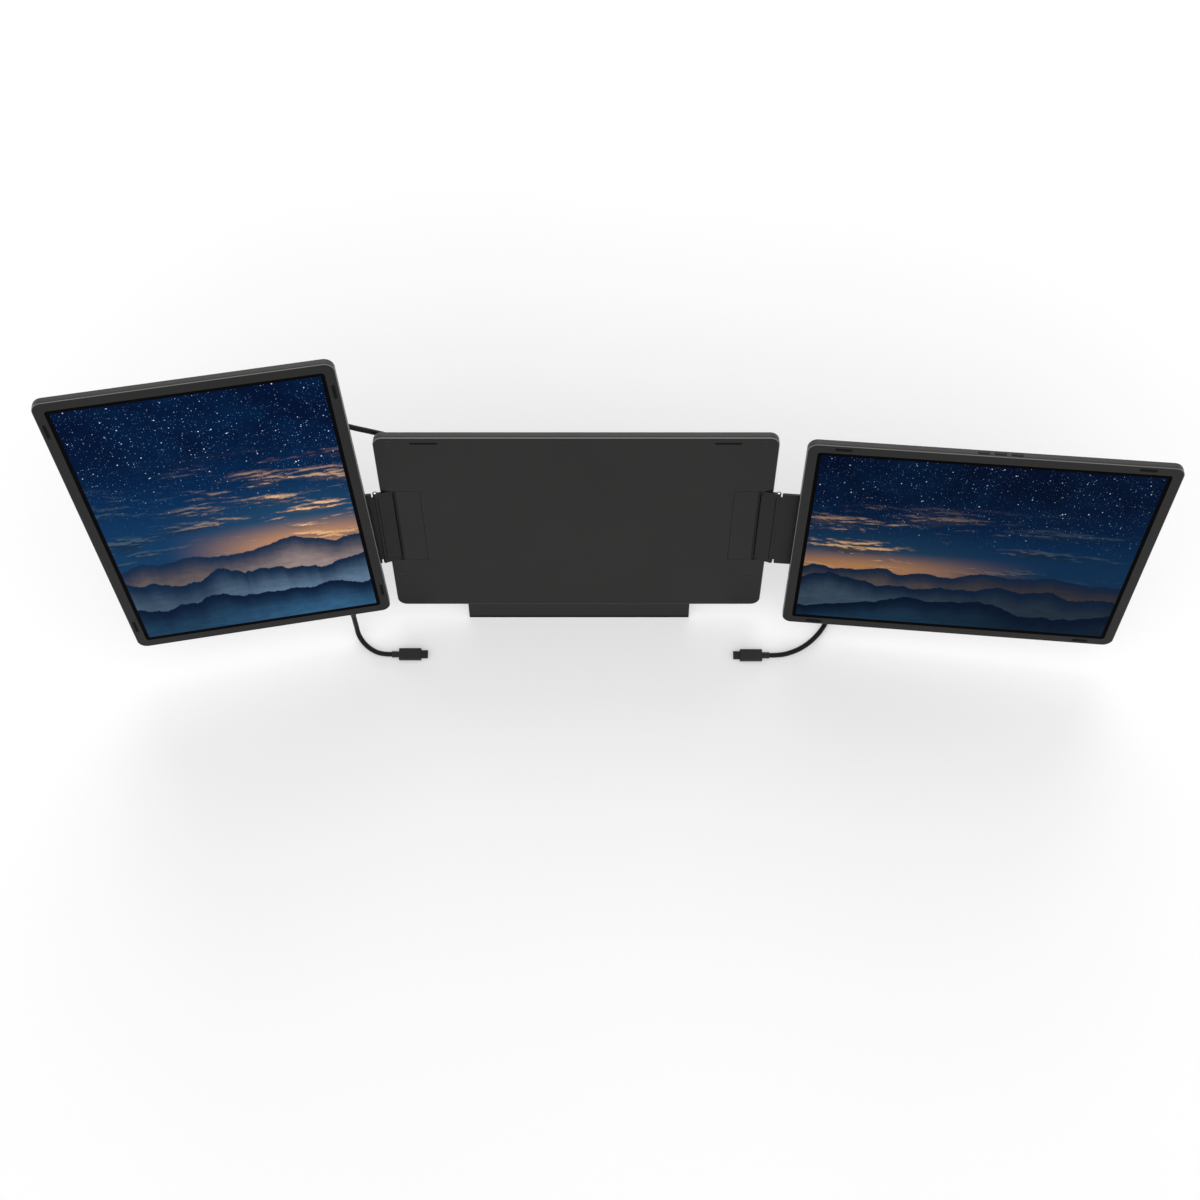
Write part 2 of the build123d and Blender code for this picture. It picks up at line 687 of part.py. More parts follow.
for side, hinge, monitor_place in (("right", right_hinge, right_monitor), ("left", left_hinge, left_monitor)):
    pieces = {
        "hinge_base": make_hinge_base(),
        "hinge_cover": make_hinge_cover(),
        "inner_pin": make_inner_pin(),
        "link": make_link(),
        "outer_pin": make_outer_pin(),
    }
    arm = make_arm()
    if side == "left":
        pieces = {name: mirror(piece, Plane.YZ) for name, piece in pieces.items()}
        arm = mirror(arm, Plane.YZ)
    for name, piece in pieces.items():
        add(f"{side}_{name}", piece, stage)
    add(f"{side}_arm", arm, hinge)
    for name, piece in make_monitor().items():
        add(f"{side}_{name}", piece, monitor_place)
    for number, x in enumerate(key_xs, 1):
        add(f"{side}_key_{number}", make_key(x), monitor_place)

near_gland = left_monitor * Location((near_x, -gland_depth, low_z + near_gland_up), (0, -90, 0))
rear_gland = right_monitor * Location((near_x + rear_gland_in, mon_back, low_z + rear_gland_up), (-90, 0, 0))
link_gland = left_monitor * Location((near_x + link_gland_in, mon_back, low_z + link_gland_up), (-90, 0, 0))
for name, gland, route, flat_dir in (
    ("left", near_gland, left_route, (0, 0, 1)),
    ("right", rear_gland, right_route, (0, 0, 1)),
    ("link", link_gland, link_route, (0, 1, 0)),
):
    add(f"{name}_cord_gland", make_gland(), gland)
    add(f"{name}_cord", make_cord(name, route))
    add(f"{name}_cord_plug", make_plug(), plug_place(route, flat_dir))

for name, shape in nodes.items():
    export_step(shape, f"parts/{name}.step")
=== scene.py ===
import json
from math import radians

import bpy
import numpy as np
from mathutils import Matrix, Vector


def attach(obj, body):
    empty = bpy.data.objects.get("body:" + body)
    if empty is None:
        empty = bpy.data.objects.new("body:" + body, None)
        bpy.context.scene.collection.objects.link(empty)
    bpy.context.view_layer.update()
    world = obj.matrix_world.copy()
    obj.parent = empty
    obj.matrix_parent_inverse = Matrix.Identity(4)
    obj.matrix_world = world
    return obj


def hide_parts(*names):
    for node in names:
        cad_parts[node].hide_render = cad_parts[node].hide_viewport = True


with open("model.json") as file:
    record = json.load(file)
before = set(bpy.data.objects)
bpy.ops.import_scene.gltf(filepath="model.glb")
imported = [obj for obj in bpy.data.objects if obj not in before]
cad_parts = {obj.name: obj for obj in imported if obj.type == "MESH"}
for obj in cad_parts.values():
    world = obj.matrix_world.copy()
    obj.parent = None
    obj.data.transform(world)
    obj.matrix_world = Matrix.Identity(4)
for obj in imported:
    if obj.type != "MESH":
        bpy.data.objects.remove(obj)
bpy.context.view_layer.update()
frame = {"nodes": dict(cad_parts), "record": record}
nodes = frame["nodes"]

# ---------------------------------------------------------------- camera
# The desk is z = 0, and the view is from above and a little in front of it.
PHOTO_SIZE = 1200.0
FOCAL_PX = 1417.8
AXIS_OFF_PX = -63.8          # negative where the optical axis is above the image's middle
CAMERA_AT = (0.0210, -0.2455, 1.4077)
CAMERA_PITCH = 76.97         # degrees down from the horizon
SENSOR = 36.0                # millimetres, and so is the lens

camera_data = bpy.data.cameras.new("camera")
camera_data.sensor_width = SENSOR
camera_data.lens = FOCAL_PX / PHOTO_SIZE * SENSOR
camera_data.shift_y = AXIS_OFF_PX / PHOTO_SIZE
camera_data.clip_start, camera_data.clip_end = 0.05, 20.0
camera = bpy.data.objects.new("camera", camera_data)
camera.location = CAMERA_AT
camera.rotation_euler = (radians(90 - CAMERA_PITCH), 0, 0)
bpy.context.scene.collection.objects.link(camera)
bpy.context.scene.camera = camera
bpy.context.scene.view_settings.view_transform = "Standard"

# ---------------------------------------------------------------- cords
# Each route is in millimetres, from the gland on a monitor to the plug.
CORD_D = 0.005
LEFT_ROUTE = [
    (-221.86, -6.79, 29.32), (-221.56, -10.62, 22.3), (-221.2, -14.6, 14.8),
    (-220.9, -18.9, 8.2), (-219.5, -23.6, 3.9), (-214.6, -30.6, 2.6),
    (-206.8, -36.9, 2.7), (-196.6, -41.4, 3.4), (-186.2, -41.4, 3.4),
]
RIGHT_ROUTE = [
    (265.91, 12.91, 46.63), (266.72, 20.31, 42.52), (266.6, 28.0, 36.6),
    (266.0, 33.4, 28.4), (264.6, 35.2, 18.6), (262.0, 31.6, 9.8),
    (258.6, 23.4, 4.4), (255.2, 12.0, 2.7), (251.4, -1.2, 2.6),
    (244.6, -14.8, 2.6), (234.6, -26.2, 2.6), (222.4, -35.2, 2.6),
    (209.4, -40.4, 2.8), (199.4, -42.4, 3.4), (189.4, -42.4, 3.4),
]
LINK_ROUTE = [
    (-219.53, 115.27, 227.29), (-221.18, 123.9, 222.51), (-219.6, 131.83, 214.52),
    (-211.5, 135.24, 205.2), (-199.0, 133.79, 197.43), (-184.0, 131.8, 192.81),
    (-168.5, 129.59, 187.18), (-155.5, 126.54, 178.58), (-146.5, 124.06, 168.52),
    (-141.8, 123.08, 156.03), (-141.8, 123.08, 143.03),
]


def cord_curve(name, route):
    """A round cord along one NURBS spline whose control points are the route."""
    curve = bpy.data.curves.new(name, "CURVE")
    curve.dimensions = "3D"
    curve.bevel_depth = 1.0      # each point's own radius gives the thickness
    curve.bevel_resolution = 6
    curve.resolution_u = 12
    spline = curve.splines.new("NURBS")
    spline.points.add(len(route) - 1)
    for point, place in zip(spline.points, route):
        point.co = (*[c / 1000 for c in place], 1.0)
        point.radius = CORD_D / 2
    spline.order_u = 3
    spline.use_endpoint_u = True
    cord = bpy.data.objects.new(name, curve)
    bpy.context.scene.collection.objects.link(cord)
    return cord


cords = []
for side, route, body, length in (
    ("left", LEFT_ROUTE, "left_monitor", 0.0706),
    ("right", RIGHT_ROUTE, "right_monitor", 0.1627),
    ("link", LINK_ROUTE, "left_monitor", 0.1362),
):
    cord = cord_curve(f"{side}_lead", route)
    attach(cord, body)
    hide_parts(f"{side}_cord")
    cords.append(cord)


# ---------------------------------------------------------------- material nodes

# Outputs and inputs of the Mix node that carry a colour.
MIX_A, MIX_B, MIX_RESULT = 6, 7, 2
# A softened normal against the face's own: 1 on a flat face, and less over an edge.
ON_FACE, ON_EDGE = 0.995, 0.90
# How far a normal faces the front: 0 on the sides, 1 on the front face, between on the arris,
# where a highlight is painted.
ARRIS_FROM_SIDE = (0.10, 0.35)
ARRIS_FROM_FRONT = (0.995, 0.93)


class Graph:
    """Short ways to add nodes to one material. A value is a socket, a number or a colour."""

    def __init__(self, name):
        self.material = bpy.data.materials.new(name)
        self.material.use_nodes = True
        self.tree = self.material.node_tree
        self.shader = self.tree.nodes["Principled BSDF"]
        self.place = self.new("TexCoord").outputs["Object"]

    def new(self, kind, **settings):
        """A new shader node with its inputs set by name."""
        node = self.tree.nodes.new(f"ShaderNode{kind}")
        for name, value in settings.items():
            self.put(node.inputs[name], value)
        return node

    def put(self, socket, value):
        """Link a socket to another node's output, or give it a number or colour."""
        if isinstance(value, bpy.types.NodeSocket):
            self.tree.links.new(value, socket)
        else:
            socket.default_value = value

    def math(self, operation, a, b=0.0):
        node = self.new("Math")
        node.operation = operation
        self.put(node.inputs[0], a)
        self.put(node.inputs[1], b)
        return node.outputs[0]

    def product(self, a, b):
        return self.math("MULTIPLY", a, b)

    def minus(self, a, b):
        return self.math("SUBTRACT", a, b)

    def ramp(self, value, low, high, out_low=0.0, out_high=1.0, smooth=False):
        """Map low..high to out_low..out_high, held at both ends."""
        node = self.new("MapRange")
        node.interpolation_type = "SMOOTHSTEP" if smooth else "LINEAR"
        for socket, v in zip(node.inputs, (value, low, high, out_low, out_high)):
            self.put(socket, v)
        return node.outputs[0]

    def mix(self, factor, a, b, blend="MIX"):
        """Colour a where the factor is 0, and colour b where it is 1."""
        node = self.new("Mix")
        node.data_type, node.blend_type = "RGBA", blend
        self.put(node.inputs["Factor"], factor)
        for socket, v in ((node.inputs[MIX_A], a), (node.inputs[MIX_B], b)):
            self.put(socket, (*v, 1.0) if isinstance(v, tuple) else v)
        return node.outputs[MIX_RESULT]

    def joined(self, *parts):
        """A place from up to three numbers."""
        node = self.new("CombineXYZ")
        for socket, part in zip(node.inputs, parts):
            self.put(socket, part)
        return node.outputs[0]

    def stretch(self, scale, place=None):
        return self.new("Mapping", Scale=scale, Vector=place or self.place).outputs[0]

    def noise(self, scale, detail=2.0, roughness=0.5, place=None):
        """Noise with so many features to the metre."""
        node = self.new("TexNoise", Scale=scale, Detail=detail, Roughness=roughness,
                        Vector=place or self.place)
        return node.outputs["Fac"]

    def vector(self, operation, a, b):
        node = self.new("VectorMath")
        node.operation = operation
        self.put(node.inputs[0], a)
        self.put(node.inputs[1], b)
        return node

    def dot(self, direction, place=None):
        """How far a place lies along a direction."""
        return self.vector("DOT_PRODUCT", place or self.place, direction).outputs["Value"]

    def soft_edges(self, radius):
        """A normal that rounds every edge by a small radius, and a mask of where it does."""
        bevel = self.new("Bevel", Radius=radius)
        bevel.samples = 4
        true_normal = self.new("NewGeometry").outputs["True Normal"]
        agreement = self.dot(true_normal, bevel.outputs[0])
        return bevel.outputs[0], self.ramp(agreement, ON_FACE, ON_EDGE, smooth=True)

    def arris(self, front):
        """1 on the rounded edge between the front face and the sides, by the object's normal."""
        # This mask places a painted highlight on the arris.
        normal = self.new("TexCoord").outputs["Normal"]
        facing = self.math("ABSOLUTE", self.dot(front, normal))
        off_side = self.ramp(facing, *ARRIS_FROM_SIDE)
        off_front = self.ramp(facing, *ARRIS_FROM_FRONT)
        return self.product(off_side, off_front)

    def bump(self, height, depth, strength, normal=None):
        node = self.new("Bump", Strength=strength, Distance=depth, Height=height)
        if normal is not None:
            self.put(node.inputs["Normal"], normal)
        return node.outputs[0]

    def finish(self, **sockets):
        """Set the shader's sockets, with spaces written as underscores."""
        for name, value in sockets.items():
            socket = self.shader.inputs[name.replace("_", " ")]
            self.put(socket, (*value, 1.0) if isinstance(value, tuple) else value)
        return self.material


def tint(colour, share):
    return tuple(min(1.0, c * share) for c in colour)


# ---------------------------------------------------------------- finishes

MOULDED_EDGE = 0.0004        # radius over which an edge looks rounded and gets a painted highlight
CRISP_EDGE = 0.0003          # the same, for metal and rubber
GRAIN_DEPTH = 0.00003
BRUSH_DEPTH = 0.000015
PLASTIC_SPECULAR = 0.16

# Painted shade, a dark band beside the hinge's slot. Its edge fades over a share of its x.
SLOT_SHADE_W, SLOT_SHADE_FADE = 0.0020, 0.0004
SLOT_SHADE_COLOUR = (0.0015, 0.0015, 0.0015)

CHARCOAL = (0.0170, 0.0165, 0.0160)
HINGE_GREY = (0.0160, 0.0160, 0.0160)
ARRIS_HIGHLIGHT = 14.0            # how much lighter the painted highlight on the arris is than the faces beside it


def moulded(name, colour, rough, grain=0.0005, edge_highlight=1.8, front=None, slot_shade_x=None):
    """Plastic with a fine moulded grain, slow changes of tone, and a painted highlight along its
    edges, in patches.

    front is the direction of the front face, whose arris gets a painted highlight. Beyond the
    slot's x, the last argument, the piece is painted as dark as the shade inside a slot.
    """
    g = Graph(name)
    tone = g.ramp(g.noise(scale=9.0, detail=3.0), 0.35, 0.65)
    body = g.mix(tone, tint(colour, 0.95), tint(colour, 1.05))
    speck = g.ramp(g.noise(scale=0.6 / grain), 0.60, 0.75, out_high=0.35)
    body = g.mix(speck, body, tint(colour, 1.35))
    # A painted highlight along every edge, broken into patches by a noise.
    normal, on_edge = g.soft_edges(MOULDED_EDGE)
    highlight_patches = g.ramp(g.noise(scale=60.0, detail=3.0), 0.35, 0.62, out_low=0.35)
    body = g.mix(g.product(on_edge, highlight_patches), body, tint(colour, edge_highlight))
    # A stronger painted highlight along the arris of the front face.
    if front is not None:
        body = g.mix(g.arris(front), body, tint(colour, ARRIS_HIGHLIGHT))
    # Painted shade: beyond the slot's x the piece darkens to the shade inside the hinge's slot.
    if slot_shade_x is not None:
        inside = g.ramp(g.dot((1.0, 0.0, 0.0)), slot_shade_x, slot_shade_x * (1 - SLOT_SHADE_FADE))
        body = g.mix(inside, SLOT_SHADE_COLOUR, body)
    fine = g.noise(scale=1.0 / grain, detail=3.0, roughness=0.6)
    roughness = g.ramp(g.noise(scale=30.0, detail=4.0), 0.3, 0.7, rough - 0.03, rough + 0.03)
    return g.finish(Base_Color=body, Roughness=roughness, Specular_IOR_Level=PLASTIC_SPECULAR,
                    Normal=g.bump(fine, GRAIN_DEPTH, 0.6, normal))


def brushed(name, colour, rough, along, metal=0.9, specular=0.5, axes=None):
    """Metal with fine brushed lines, dull patches, and a painted highlight along its edges.

    along is the noise's scale on three axes, the lowest along the lines. The axes are the
    object's own, or the piece's directions if they are given.
    """
    g = Graph(name)
    place = g.joined(*(g.dot(axis) for axis in axes)) if axes else None
    lines = g.noise(scale=1.0, roughness=0.6, place=g.stretch(along, place))
    body = g.mix(g.ramp(lines, 0.3, 0.7), tint(colour, 0.82), tint(colour, 1.15))
    patches = g.ramp(g.noise(scale=14.0, detail=3.0), 0.4, 0.7, out_high=0.25)
    body = g.mix(patches, body, tint(colour, 0.7))
    normal, on_edge = g.soft_edges(CRISP_EDGE)
    # A painted highlight along every edge.
    body = g.mix(on_edge, body, tint(colour, 1.7))
    roughness = g.ramp(lines, 0.3, 0.7, rough - 0.06, rough + 0.07)
    return g.finish(Base_Color=body, Roughness=roughness, Metallic=metal,
                    Specular_IOR_Level=specular,
                    Normal=g.bump(lines, BRUSH_DEPTH, 0.5, normal))


def rubber(name, colour, rough=0.72, specular=0.2):
    """Rubber with a fine grain, a little dust, and a painted highlight along its edges."""
    g = Graph(name)
    tone = g.ramp(g.noise(scale=40.0, detail=3.0), 0.3, 0.7)
    dust = g.ramp(g.noise(scale=420.0), 0.62, 0.78, out_high=0.3)
    body = g.mix(dust, g.mix(tone, tint(colour, 0.85), tint(colour, 1.15)), tint(colour, 1.8))
    normal, on_edge = g.soft_edges(CRISP_EDGE)
    # A painted highlight along every edge.
    return g.finish(Base_Color=g.mix(on_edge, body, tint(colour, 1.4)), Roughness=rough,
                    Specular_IOR_Level=specular,
                    Normal=g.bump(g.noise(scale=2600.0), GRAIN_DEPTH, 0.6, normal))


def board_material(name):
    """Solder mask with traces along the borders of square cells, and copper pads inside them."""
    mask, trace_green, copper = (0.012, 0.085, 0.045), (0.03, 0.17, 0.09), (0.62, 0.44, 0.16)
    g = Graph(name)
    grid = g.new("TexVoronoi", Scale=320.0, Vector=g.place)
    grid.distance = "CHEBYCHEV"
    trace = g.ramp(grid.outputs["Distance"], 0.42, 0.46)
    pad = g.ramp(grid.outputs["Distance"], 0.10, 0.07)
    body = g.mix(pad, g.mix(trace, mask, trace_green), copper)
    return g.finish(Base_Color=body, Roughness=0.42, Normal=g.bump(trace, GRAIN_DEPTH, 0.7))


# ---------------------------------------------------------------- screens
# A made-up dusk with stars above layered ridges. Colours are linear. Heights in the picture
# run from 0 at its foot to 1 at its top, and so do places across it, from the left.

BORDER_W, BORDER_FADE = 0.0033, 0.0002       # black edge inside the glass
BORDER_BLACK = (0.0015, 0.0015, 0.002)
GLASS_SPECULAR, SCREEN_GLOW = 0.012, 0.5

SKY_LOW, SKY_HIGH = (0.0010, 0.021, 0.074), (0.0003, 0.0040, 0.021)
SKY_DRIFT = (0.0012, 0.022, 0.074)
HAZE, EMBER = (0.017, 0.058, 0.105), (0.52, 0.235, 0.085)
GLOW_REACH = 0.60            # how far across the picture the glow reaches
CLOUD_SHADE, CLOUD_SHADE_BY_GLOW = (0.005, 0.019, 0.045), (0.045, 0.042, 0.055)
CLOUD_LIT, CLOUD_LIT_BY_GLOW = (0.040, 0.068, 0.105), (0.64, 0.38, 0.20)
CLOUD_STRETCH = (9.0, 42.0, 1.0)
CLOUD_LIGHT_STEP = (0.02, 0.10, 0.0)         # from a point of a cloud towards its lit top

# Each layer of stars: cells to the metre, radius in cells, brightest share, colour.
STARS = (
    (430.0, 0.17, 0.45, (0.22, 0.42, 0.80)),
    (215.0, 0.105, 0.80, (0.42, 0.62, 0.95)),
    (95.0, 0.062, 1.0, (0.78, 0.90, 1.0)),
    (42.0, 0.034, 1.0, (0.95, 0.98, 1.0)),
)
STAR_CORE = 0.45             # the share of a star's radius that is fully bright

# Each ridge, far to near: height of its crest, rise and fall, colour, colour of the mist.
RIDGES = (
    (0.345, 0.05, (0.0050, 0.019, 0.050), (0.120, 0.092, 0.085)),
    (0.255, 0.08, (0.0032, 0.014, 0.041), (0.048, 0.080, 0.120)),
    (0.145, 0.09, (0.0015, 0.0075, 0.026), (0.0130, 0.043, 0.085)),
)
RIDGE_SCALE, RIDGE_SCALE_STEP = 13.0, 2.5    # features to the metre, fewer on nearer ridges
RIDGE_SEED_STEP = 3.7
MIST_DEPTH = 0.13            # how far below a crest its mist is thickest
MIST_AWAY = 0.45             # the mist's share of light far from the glow

# Each screen: where the glow is, seed of its clouds and ridges, brightness, light of its mist.
SCREENS = {
    "right_screen_glass": (0.16, 1.3, 0.62, 1.0),
    "left_screen_glass": (0.80, 8.1, 1.0, 2.1),
}


def points_of(node):
    return np.array([v.co for v in node.data.vertices])


def own_axes(node):
    """A flat piece's directions from its mesh: through it, across it and along it."""
    spread = np.linalg.eigh(np.cov(points_of(node).T))[1]
    return [tuple(float(c) for c in axis) for axis in spread.T]


def screen_axes(node):
    """The screen's middle, its directions across and up, and its half sizes, from its mesh."""
    points = points_of(node)
    through, *flat = (np.array(axis) for axis in own_axes(node))
    across, up = sorted(flat, key=lambda axis: -abs(axis[0]))
    across, up = across * np.sign(across[0]), up * np.sign(up[2])
    middle, halves = np.zeros(3), []
    for axis in (across, up, through):
        reach = points @ axis
        middle += axis * (reach.min() + reach.max()) / 2
        halves.append((reach.max() - reach.min()) / 2)
    return middle, across, up, halves


def add_sky(g, v, near_glow, flat):
    """Dark blue overhead, hazy lower down, and orange near the glow."""
    sky = g.mix(g.ramp(v, 0.42, 0.88, smooth=True), SKY_LOW, SKY_HIGH)
    drift = g.noise(scale=22.0, detail=6.0, roughness=0.62, place=flat)
    sky = g.mix(g.ramp(drift, 0.42, 0.72, out_high=0.40), sky, SKY_DRIFT)
    haze = g.product(g.ramp(v, 0.66, 0.36, smooth=True), g.ramp(near_glow, 0.0, 1.0, 0.25, 0.9))
    sky = g.mix(haze, sky, HAZE)
    ember = g.product(g.ramp(v, 0.47, 0.345, smooth=True), near_glow)
    return g.mix(g.product(ember, 0.80), sky, EMBER)


def add_clouds(g, sky, v, near_glow, flat):
    """Long torn bands, dark below and lit along their tops near the glow."""
    bands = g.stretch(CLOUD_STRETCH, flat)
    towards_light = g.vector("ADD", bands, CLOUD_LIGHT_STEP).outputs[0]
    wisps, above = (g.noise(scale=1.0, detail=9.0, roughness=0.66, place=place)
                    for place in (bands, towards_light))
    lit_side = g.ramp(g.minus(wisps, above), 0.0, 0.05, smooth=True)
    low_sky = g.product(g.ramp(v, 0.78, 0.52, smooth=True), g.ramp(v, 0.30, 0.40))
    cloud = g.product(g.ramp(wisps, 0.49, 0.60, smooth=True), low_sky)
    shade = g.mix(near_glow, CLOUD_SHADE, CLOUD_SHADE_BY_GLOW)
    lit = g.mix(near_glow, CLOUD_LIT, CLOUD_LIT_BY_GLOW)
    return g.mix(g.product(cloud, 0.92), sky, g.mix(lit_side, shade, lit))


def add_stars(g, sky, v, flat):
    """Many small blue stars and a few large pale ones, fading towards the horizon."""
    for scale, size, share, colour in STARS:
        cell = g.new("TexVoronoi", Scale=scale, Vector=flat)
        cell.voronoi_dimensions = "2D"
        star = g.ramp(cell.outputs["Distance"], size, size * STAR_CORE, smooth=True)
        chance = g.new("SeparateColor", Color=cell.outputs["Color"]).outputs[0]
        bright = g.ramp(g.math("POWER", chance, 3.0), 0.30, 1.0, 0.0, share)
        star = g.product(g.product(star, bright), g.ramp(v, 0.44, 0.80, smooth=True))
        sky = g.mix(star, sky, colour)
    return sky


def add_ridges(g, picture, x, v, near_glow, flat, seed, mist):
    """Ridges from far to near, each with mist at its foot."""
    for number, (top, height, colour, mist_colour) in enumerate(RIDGES):
        line = g.joined(x, seed + RIDGE_SEED_STEP * number)
        crest = g.noise(scale=RIDGE_SCALE - RIDGE_SCALE_STEP * number, detail=9.0,
                        roughness=0.55, place=line)
        crest = g.ramp(crest, 0.25, 0.75, top - height, top + height)
        below = g.minus(crest, v)
        foot = g.mix(near_glow, tint(mist_colour, MIST_AWAY * mist), tint(mist_colour, mist))
        slope = g.mix(g.ramp(below, 0.0, MIST_DEPTH, smooth=True), colour, foot)
        ground = g.noise(scale=60.0, detail=8.0, roughness=0.65,
                         place=g.stretch((1.0, 2.4, 1.0), flat))
        ground = g.product(g.ramp(ground, 0.35, 0.70), 0.35)
        slope = g.mix(ground, slope, tint(colour, 0.55))
        picture = g.mix(g.ramp(below, 0.0, 0.004), picture, slope)
    return picture


def screen_material(name, glow_at, seed, level, mist):
    """Glass over a lit picture with a black border."""
    middle, across, up, (half_w, half_h, _) = screen_axes(nodes[name])
    g = Graph(name)
    x = g.minus(g.dot(across), float(middle @ across))
    y = g.minus(g.dot(up), float(middle @ up))
    u = g.ramp(x, -half_w, half_w)
    v = g.ramp(y, -half_h, half_h)
    flat = g.joined(x, y, seed)
    near_glow = g.ramp(g.math("ABSOLUTE", g.minus(u, glow_at)), GLOW_REACH, 0.0, smooth=True)

    picture = add_sky(g, v, near_glow, flat)
    picture = add_clouds(g, picture, v, near_glow, flat)
    picture = add_stars(g, picture, v, flat)
    picture = add_ridges(g, picture, x, v, near_glow, flat, seed, mist)

    inside = g.math("MINIMUM", *(
        g.ramp(g.math("ABSOLUTE", reach), half - BORDER_W, half - BORDER_W - BORDER_FADE)
        for reach, half in ((x, half_w), (y, half_h))))
    picture = g.mix(inside, BORDER_BLACK, picture)
    picture = g.mix(1.0, picture, (level, level, level), "MULTIPLY")
    smudge = g.ramp(g.noise(scale=26.0, detail=4.0, roughness=0.6), 0.35, 0.7, 0.08, 0.16)
    return g.finish(Base_Color=picture, Roughness=smudge, Specular_IOR_Level=GLASS_SPECULAR,
                    Emission_Color=picture, Emission_Strength=SCREEN_GLOW)


# ---------------------------------------------------------------- a finish for every piece

finishes = {
    "frame_shell": moulded("frame_shell", CHARCOAL, 0.37),
    # Painted light: the monitors' rear covers, side walls included, are the charcoal twice as
    # light, so the walls look lit from above.
    "monitor_shell": moulded("monitor_shell", tint(CHARCOAL, 2.0), 0.36, grain=0.0006),
    "hinge_metal": brushed("hinge_metal", HINGE_GREY, 0.42, (20.0, 900.0, 900.0),
                           metal=0.2, specular=0.15),
    "stand_metal": brushed("stand_metal", (0.018, 0.018, 0.019), 0.40, (1400.0, 30.0, 30.0),
                           metal=0.2, specular=0.25),
    "pin_steel": brushed("pin_steel", (0.50, 0.50, 0.51), 0.28, (900.0, 900.0, 60.0), metal=1.0),
    "dark_steel": brushed("dark_steel", (0.036, 0.036, 0.038), 0.38, (1500.0, 1500.0, 200.0)),
    "pad_rubber": rubber("pad_rubber", (0.004, 0.004, 0.004), specular=0.1),
    "panel_body": brushed("panel_body", (0.42, 0.43, 0.45), 0.40, (40.0, 900.0, 900.0)),
    "circuit_board": board_material("circuit_board"),
    "socket_metal": brushed("socket_metal", (0.62, 0.62, 0.64), 0.24, (1200.0, 300.0, 1200.0),
                            metal=1.0),
    "ring_plastic": moulded("ring_plastic", (0.030, 0.030, 0.032), 0.40, grain=0.0003),
    "cap_plastic": moulded("cap_plastic", (0.026, 0.026, 0.028), 0.34, grain=0.0003),
    # The keys' edges get a stronger painted highlight.
    "key_plastic": moulded("key_plastic", (0.013, 0.013, 0.014), 0.42, grain=0.0003, edge_highlight=5.0),
    "cord_sleeve": rubber("cord_sleeve", (0.004, 0.004, 0.0044), 0.24, specular=0.20),
    "cord_rubber": rubber("cord_rubber", (0.023, 0.023, 0.024), 0.42),
    # From here on by the node's name, which is looked up before its slot.
    # The front cover gets a painted highlight along its arris.
    "frame_front_cover": moulded("frame_front_shell_arris_highlight", CHARCOAL, 0.37,
                                 front=own_axes(nodes["frame_front_cover"])[0]),
    # Painted light: the frame's rear cover, top edge included, is the charcoal 2.3 times as
    # light, so the edge looks lit from above.
    "frame_rear_cover": moulded("frame_rear_shell_painted_light", tint(CHARCOAL, 2.3), 0.37),
}
for side in ("right", "left"):
    bezel, arm, cover = f"{side}_bezel", f"{side}_arm", f"{side}_hinge_cover"
    # Each bezel gets a painted highlight along the arris of its front.
    finishes[bezel] = moulded(f"{bezel}_plastic", tint(CHARCOAL, 0.80), 0.34,
                              front=own_axes(nodes[bezel])[0])
    finishes[arm] = brushed(f"{arm}_metal", HINGE_GREY, 0.42, (900.0, 900.0, 20.0),
                            metal=0.2, specular=0.15, axes=own_axes(nodes[arm]))
    # Each hinge cover is painted dark as shade beside its slot.
    slot_edge = max((v.co.x for v in nodes[cover].data.vertices), key=abs)
    finishes[cover] = moulded(f"{cover}_paint", CHARCOAL, 0.40,
                              slot_shade_x=slot_edge - SLOT_SHADE_W * np.sign(slot_edge))
for screen, settings in SCREENS.items():
    finishes[screen] = screen_material(screen, *settings)

for subpart in frame["record"]["subparts"]:
    name = subpart["node"]
    finish = finishes.get(name) or finishes[subpart["material_slot"]]
    node = nodes[name]
    node.data.materials.clear()
    node.data.materials.append(finish)
for cord in cords:
    cord.data.materials.append(finishes["cord_sleeve"])

# ---------------------------------------------------------------- floor and light

FLOOR_HALF = 60.0
FLOOR_Z = -0.0003            # just below the desk's plane, which the feet and plugs lie on
FLOOR_DARK, FLOOR_LIGHT = (0.76, 0.76, 0.76), (0.78, 0.78, 0.78)
FLOOR_GLOW = 0.25            # keeps the floor as white as the photo's

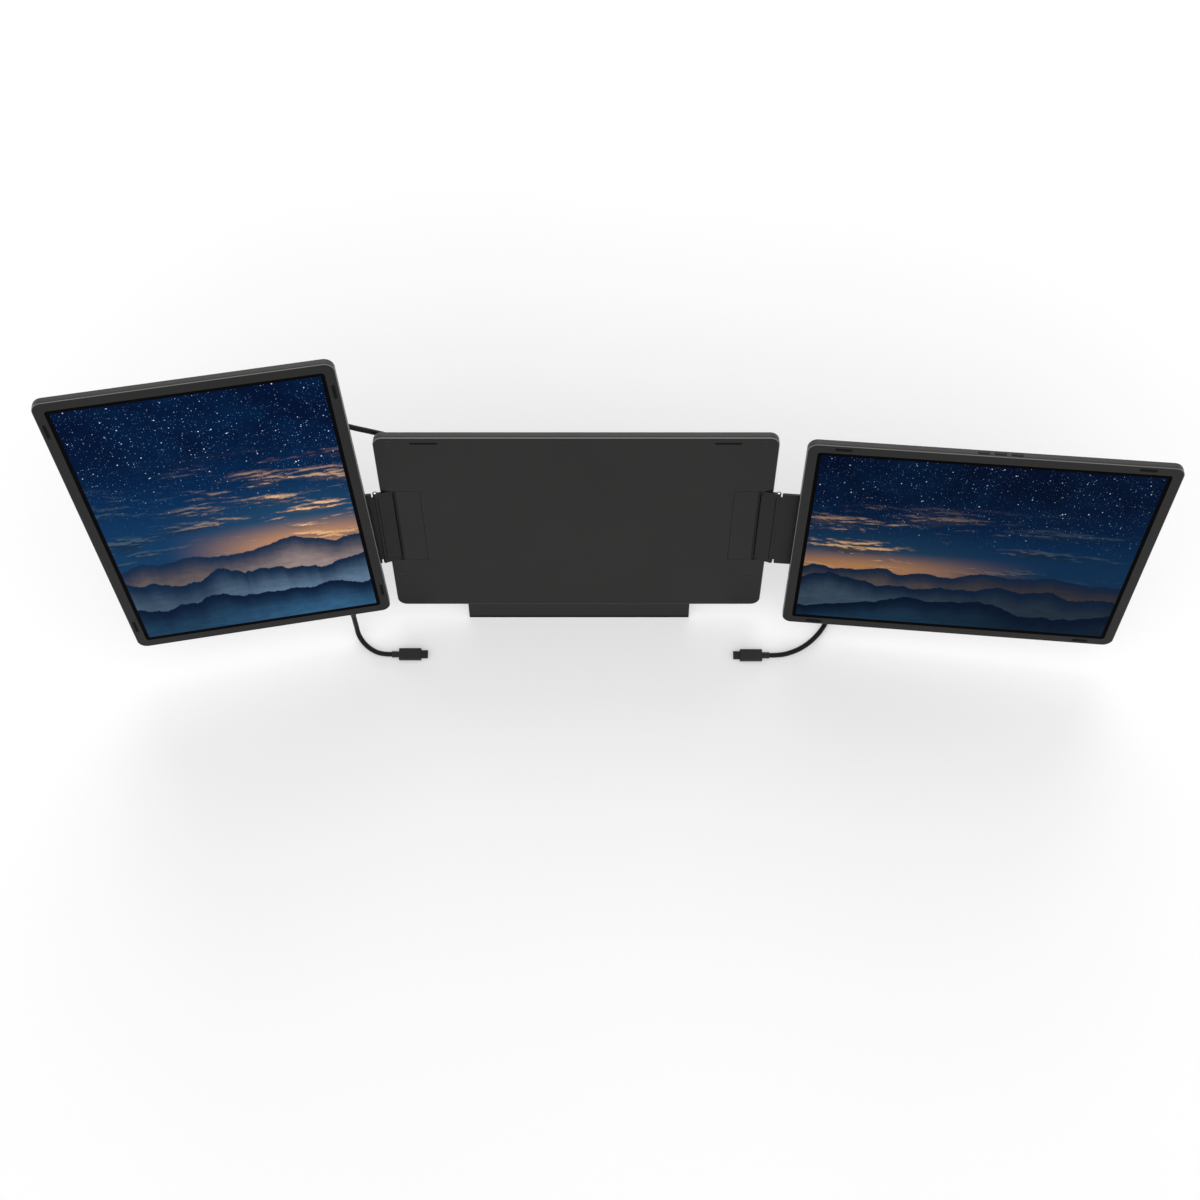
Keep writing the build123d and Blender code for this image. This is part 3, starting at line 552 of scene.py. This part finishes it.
floor_graph = Graph("floor")
floor_tone = floor_graph.ramp(floor_graph.noise(scale=1.5), 0.3, 0.7)
floor_paint = floor_graph.mix(floor_tone, FLOOR_DARK, FLOOR_LIGHT)
floor_material = floor_graph.finish(
    Base_Color=floor_paint, Roughness=0.8, Specular_IOR_Level=0.1,
    Emission_Color=(1.0, 1.0, 1.0), Emission_Strength=FLOOR_GLOW)
floor_mesh = bpy.data.meshes.new("floor")
floor_mesh.from_pydata(
    [(x * FLOOR_HALF, y * FLOOR_HALF, FLOOR_Z) for x, y in ((-1, -1), (1, -1), (1, 1), (-1, 1))],
    [], [(0, 1, 2, 3)])
floor_mesh.materials.append(floor_material)
floor = bpy.data.objects.new("floor", floor_mesh)
bpy.context.scene.collection.objects.link(floor)

# The world's light falls from the horizon's strength to the overhead one between two heights.
LOW_HEIGHT, HIGH_HEIGHT = 0.20, 0.60
HORIZON_STRENGTH, OVERHEAD_STRENGTH = 1.02, 0.81

world = bpy.data.worlds.new("world")
world.use_nodes = True
world_nodes, world_links = world.node_tree.nodes, world.node_tree.links
background = world_nodes["Background"]
background.inputs["Color"].default_value = (1.0, 1.0, 1.0, 1.0)
direction = world_nodes.new("ShaderNodeTexCoord").outputs["Generated"]
height = world_nodes.new("ShaderNodeSeparateXYZ")
fade = world_nodes.new("ShaderNodeMapRange")
fade.interpolation_type = "SMOOTHSTEP"
world_links.new(direction, height.inputs[0])
world_links.new(height.outputs["Z"], fade.inputs[0])
for socket, value in zip(
        fade.inputs[1:5], (LOW_HEIGHT, HIGH_HEIGHT, HORIZON_STRENGTH, OVERHEAD_STRENGTH)):
    socket.default_value = value
world_links.new(fade.outputs[0], background.inputs["Strength"])
bpy.context.scene.world = world

KEY_STRENGTH, KEY_SPREAD = 0.62, 30.0
KEY_FROM = Vector((0.05, 0.81, 0.59))
BACK_POWER, BACK_SIZE = 18.0, (3.4, 1.0)
BACK_AT, BACK_TARGET = Vector((0.0, 3.0, 1.1)), Vector((0.0, 0.05, 0.15))

sun = bpy.data.lights.new("key", "SUN")
sun.energy, sun.angle = KEY_STRENGTH, radians(KEY_SPREAD)
key = bpy.data.objects.new("key", sun)
key.rotation_euler = KEY_FROM.to_track_quat("Z", "Y").to_euler()
bpy.context.scene.collection.objects.link(key)

panel = bpy.data.lights.new("back", "AREA")
panel.shape, panel.energy = "RECTANGLE", BACK_POWER
panel.size, panel.size_y = BACK_SIZE
back = bpy.data.objects.new("back", panel)
back.location = BACK_AT
back.rotation_euler = (BACK_TARGET - BACK_AT).to_track_quat("-Z", "Y").to_euler()
bpy.context.scene.collection.objects.link(back)

bpy.context.view_layer.update()
